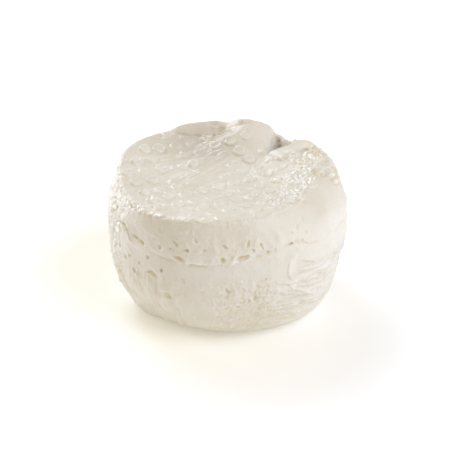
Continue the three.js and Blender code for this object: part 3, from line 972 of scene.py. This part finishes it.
def sculpt(points):
    """How far each point of the smooth drum moves outwards, and the shares its material reads.

    The shares give painted shade in pits and cracks, which turns the colour a darker yellow, gloss where
    wet, painted grey shade, and painted white highlights.
    """
    x, y, z = points.T
    azimuth = np.degrees(np.arctan2(y, x))
    past_rim = past_the_rim(points, azimuth)
    top = smoothstep(past_rim, *RIM_BLEND)
    wall = 1 - top
    open_marks, rough, seams, fine, side = side_relief(points, azimuth)
    crust = crust_strength(points, azimuth) * top
    crumbly = crumbly_strength(points, azimuth) * smoothstep(z, 40, 43)
    rim = rim_strength(points, azimuth, past_rim)
    details = top_details(points)
    smooth = smooth_share(x, y)
    skin = (1 - 0.8 * smooth) * (smears(points) + granules(points))
    marks, mark_rims = drain_marks(x, y)
    marks = marks * (0.85 + 0.35 * noise(points, 3, 91))
    mark_rims = mark_rims * np.clip(0.85 + 0.9 * noise(points, 2.2, 92), 0.25, 1.3)
    foot = 0.9 * bell(azimuth, -146, 12) * (1 - smoothstep(z, 0.5, 5))
    loose = crumbs(points, crust, 0.95, 0.5, 83) + torn_skin(points, crumbly)
    loose += crumbs(points, rim, 0.85, 0.48, 87)
    waves = 0.3 * noise(points, 17, 1) + 0.1 * top * noise(points, 4, 81)
    offset = waves + foot + loose + wall * side + top * (marks + details + skin)
    offset += smoothstep(past_rim, -2.5, 0) * skin_edge(points, azimuth)

    # Painted shade: pits, cracks, seams, grooves, dents and the gaps between crumbs darken towards yellow.
    hollow_shade = wall * np.clip(-(open_marks + 0.8 * rough + 0.5 * seams + 0.1 * fine) / 0.9, 0, 1)
    hollow_shade += top * np.clip((-details - 0.3) / 1.2, 0, 0.7) + np.clip((-loose - 0.05) / 0.9, 0, 0.5)
    dry_front = 0.6 * smoothstep(-y, 16, 28)
    wet = 0.4 * top * (1 - dry_front) * (1 - 0.6 * smooth) + 0.6 * (crust + crumbly * top + rim)
    wet += 0.3 * top * mark_rims
    # Painted highlight: white on the marks' rims, on smears and granules, and on the tops of crumbs.
    pale_highlight = top * (mark_rims + np.clip(2.2 * skin, 0, 0.8)) + 0.9 * np.clip((loose - 0.05) / 0.35, 0, 1)
    # Painted highlight: the lump's nose is whitened to look lit.
    nose = (valley_share(x, y) < 0.05) * smoothstep(y, 16, 20)
    pale_highlight += 0.25 * top * smoothstep(x, 7, 11) * nose
    # Painted highlight: white on the raised bits of the wall's pits and patches.
    pale_highlight += 0.5 * wall * np.clip((open_marks + rough + fine) / 0.3, 0, 1)
    shares = {"hollow_shade": hollow_shade, "wet": wet, "shaded": shaded_share(x, y, top), "pale_highlight": pale_highlight}
    return offset * smoothstep(z, 0, BASE_FADE), shares


# ---- the finished piece
def make_cheese():
    points, faces = drum_grid()
    cheese = mesh_object("cheese_curd", points, faces)
    even_mesh(cheese)
    points = settle_on_form(read_vectors(cheese.data.vertices, "co"))
    write_points(cheese.data, points)
    offset, shares = sculpt(points)
    points = points + read_vectors(cheese.data.vertex_normals, "vector") * offset[:, None]
    points[:, 2] = np.maximum(points[:, 2], 0)
    write_points(cheese.data, points * MM)
    for name, values in shares.items():
        write_shares(cheese.data, name, values)
    thin_out(cheese)
    cheese.data.shade_smooth()
    return cheese


# ---- the curd's material
# Colours, then the scales of the noise in features per metre, and the skin's finish.
IVORY = (0.86, 0.835, 0.777, 1)
DEEP_IVORY = (0.815, 0.778, 0.7, 1)
# Painted shade in pits, cracks and grooves.
HOLLOW_SHADE_YELLOW = (0.82, 0.71, 0.43, 1)
# Painted shade, grey, for the deep valley and the back of the top.
PAINTED_SHADE_GREY = (0.47, 0.42, 0.35, 1)
# Painted highlight, white, on rims, crumbs and ridges.
PAINTED_HIGHLIGHT_WHITE = (0.94, 0.93, 0.9, 1)
CLOUDS = 70
FLECKS = 480
DAMPNESS = 260
PORES = 600
GRAIN = 1500
BUMP_STRENGTH = 0.65
BUMP_HEIGHT = 0.00025
LIGHT_SHARE_INSIDE = 0.18
LIGHT_REACH = (1.0, 0.8, 0.5)
LIGHT_DEPTH = 0.002
COAT_ROUGHNESS = 0.14


# The Mix node's colour sockets, by number.
MIX_A = 6
MIX_B = 7
MIX_RESULT = 2


class Nodes:
    """Short ways of adding nodes to a material or the world and joining them."""

    def __init__(self, owner):
        self.tree = owner.node_tree

    def fill(self, node, inputs):
        """Sets each input to a value, or joins it to another node's output."""
        for name, value in inputs.items():
            if isinstance(value, (int, float, tuple)):
                node.inputs[name].default_value = value
            else:
                self.tree.links.new(value, node.inputs[name])

    def add(self, kind, inputs=None, **settings):
        node = self.tree.nodes.new(kind)
        for name, value in settings.items():
            setattr(node, name, value)
        self.fill(node, inputs or {})
        return node

    def noise(self, place, per_metre, detail, roughness=0.5):
        inputs = {"Vector": place, "Scale": per_metre, "Detail": detail, "Roughness": roughness}
        return self.add("ShaderNodeTexNoise", inputs).outputs["Fac"]

    def spread(self, value, low, high, to_low, to_high):
        inputs = {"Value": value, "From Min": low, "From Max": high, "To Min": to_low, "To Max": to_high}
        return self.add("ShaderNodeMapRange", inputs).outputs["Result"]

    def math(self, operation, a, b):
        return self.add("ShaderNodeMath", {0: a, 1: b}, operation=operation).outputs["Value"]

    def mix(self, share, a, b):
        inputs = {"Factor": share, MIX_A: a, MIX_B: b}
        return self.add("ShaderNodeMix", inputs, data_type="RGBA").outputs[MIX_RESULT]

    def share(self, name):
        return self.add("ShaderNodeAttribute", attribute_name=name).outputs["Fac"]


def new_material(name):
    material = bpy.data.materials.new(name)
    material.use_nodes = True
    return material, Nodes(material), material.node_tree.nodes["Principled BSDF"]


def curd_material():
    """Ivory curd with cloudy spots, painted shade in its pits, painted grey shade in the valley, painted
    white highlights on rims and crumbs, fine pores and a wet-looking coat.
    """
    material, nodes, shader = new_material("fresh_curd")
    place = nodes.add("ShaderNodeTexCoord").outputs["Object"]
    hollow_shade, wet, shaded, pale_highlight = (nodes.share(name) for name in ("hollow_shade", "wet", "shaded", "pale_highlight"))

    clouds = nodes.spread(nodes.noise(place, CLOUDS, 3), 0.35, 0.65, 0, 1)
    flecks = nodes.spread(nodes.noise(place, FLECKS, 3, 0.6), 0.42, 0.62, 0, 0.45)
    colour = nodes.mix(nodes.math("MAXIMUM", clouds, flecks), IVORY, DEEP_IVORY)
    # Painted shade: the colour darkens to yellow in pits, cracks and grooves.
    pit_shade = nodes.math("POWER", hollow_shade, 0.8)
    colour = nodes.mix(nodes.math("MULTIPLY", pit_shade, 0.75), colour, HOLLOW_SHADE_YELLOW)
    # Painted shade: grey in the valley and over the back of the top.
    colour = nodes.mix(nodes.math("MULTIPLY", shaded, 0.9), colour, PAINTED_SHADE_GREY)
    # Painted highlight: white on rims, crumbs, smears and ridges.
    colour = nodes.mix(nodes.math("MULTIPLY", pale_highlight, 0.85), colour, PAINTED_HIGHLIGHT_WHITE)

    blotch = nodes.spread(nodes.noise(place, DAMPNESS, 3), 0.35, 0.65, 0.5, 0.36)
    gloss = nodes.math("MULTIPLY", wet, 0.08)
    grain = nodes.math("MULTIPLY", nodes.noise(place, GRAIN, 3, 0.6), 0.5)
    height = nodes.math("ADD", grain, nodes.noise(place, PORES, 2))
    bumps = {"Strength": BUMP_STRENGTH, "Distance": BUMP_HEIGHT, "Height": height}
    nodes.fill(shader, {
        "Base Color": colour,
        "Roughness": nodes.math("SUBTRACT", blotch, gloss),
        "Normal": nodes.add("ShaderNodeBump", bumps).outputs["Normal"],
        "Subsurface Weight": LIGHT_SHARE_INSIDE,
        "Subsurface Radius": LIGHT_REACH,
        "Subsurface Scale": LIGHT_DEPTH,
        "Coat Weight": nodes.spread(wet, 0, 1, 0.03, 0.75),
        "Coat Roughness": COAT_ROUGHNESS,
    })
    return material


# ---- stage, light and camera
CAMERA_LENS = 100
CAMERA_DISTANCE = 0.4292
CAMERA_ELEVATION = 28
CAMERA_AIM = (-0.0005, 0, 0.024)


def make_camera():
    data = bpy.data.cameras.new("camera")
    data.lens = CAMERA_LENS
    camera = add_object("camera", data)
    elevation = math.radians(CAMERA_ELEVATION)
    back = Vector((0, -math.cos(elevation), math.sin(elevation)))
    camera.location = Vector(CAMERA_AIM) + back * CAMERA_DISTANCE
    camera.rotation_euler = (math.pi / 2 - elevation, 0, 0)
    bpy.context.scene.camera = camera


# Large soft lights, and a small one for the glints: name, azimuth, elevation, size, power and colour.
LIGHTS = [
    ("key_low", -30, 12, 0.5, 1.18, (1, 0.985, 0.94)),
    ("key_right", 20, 5, 0.15, 0.72, (0.93, 1, 1.16)),
    ("key_high", -30, 50, 0.5, 3.1, (0.9, 1, 1.25)),
    ("left_high", 180, 40, 0.5, 0.72, (1, 0.96, 0.8)),
    ("back_high", 120, 40, 0.5, 3.05, (0.91, 1, 1.2)),
    ("rim_left", 150, 5, 0.25, 3.0, (0.93, 1, 1.19)),
    ("front_top", -90, 72, 0.5, 0.8, (1, 0.95, 0.66)),
    ("glint", 118, 24, 0.06, 0.25, (1, 1, 1)),
]
LIGHT_DISTANCE = 0.9
LIGHT_AIM = (0, 0, 0.025)


def area_light(name, azimuth, elevation, size, power, colour):
    """A square light that faces the middle of the cheese."""
    data = bpy.data.lights.new(name, "AREA")
    data.size = size
    data.energy = power
    data.color = colour
    light = add_object(name, data)
    a, e = math.radians(azimuth), math.radians(elevation)
    direction = Vector((math.cos(e) * math.cos(a), math.cos(e) * math.sin(a), math.sin(e)))
    light.location = Vector(LIGHT_AIM) + direction * LIGHT_DISTANCE
    light.rotation_euler = direction.to_track_quat("Z", "Y").to_euler()


# The white floor glows a little, more so far from the cheese than close to it.
FLOOR_HALF = 30.0
FLOOR_WHITE = (0.9, 0.9, 0.9, 1)
FLOOR_NEAR = 0.045
FLOOR_FAR = 0.1
FLOOR_GLOW_NEAR = (0.22, 0.22, 0.2, 1)
FLOOR_GLOW_FAR = (0.29, 0.32, 0.4, 1)
FLOOR_MIDDLE = (-0.022, 0, -0.0002)


def make_floor():
    half = FLOOR_HALF
    corners = [(-half, -half, 0), (half, -half, 0), (half, half, 0), (-half, half, 0)]
    floor = mesh_object("floor", corners, [(0, 1, 2, 3)])
    floor.location = FLOOR_MIDDLE
    material, nodes, shader = new_material("pale_floor")
    place = nodes.add("ShaderNodeTexCoord").outputs["Object"]
    away = nodes.add("ShaderNodeVectorMath", {0: place}, operation="LENGTH").outputs["Value"]
    share = nodes.spread(away, FLOOR_NEAR, FLOOR_FAR, 0, 1)
    glow = nodes.mix(share, FLOOR_GLOW_NEAR, FLOOR_GLOW_FAR)
    nodes.fill(shader, {"Base Color": FLOOR_WHITE, "Emission Color": glow, "Emission Strength": 1})
    floor.data.materials.append(material)


# The world's warm light fills the shade. Above the horizon a camera sees the far floor's pale grey.
WARM_FILL = (0.29, 0.2146, 0.087, 1)
PALE_BACKDROP = (0.57, 0.54, 0.5, 1)


def make_world():
    world = bpy.data.worlds.new("studio")
    bpy.context.scene.world = world
    world.use_nodes = True
    nodes = Nodes(world)
    seen = nodes.add("ShaderNodeLightPath").outputs["Is Camera Ray"]
    colour = nodes.mix(seen, WARM_FILL, PALE_BACKDROP)
    nodes.fill(world.node_tree.nodes["Background"], {"Color": colour})


def main():
    make_camera()
    make_world()
    make_floor()
    for light in LIGHTS:
        area_light(*light)
    cheese = make_cheese()
    cheese.data.materials.append(curd_material())
    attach(cheese, "root")
    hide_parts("cheese")
    bpy.context.scene.view_settings.view_transform = "Standard"


main()
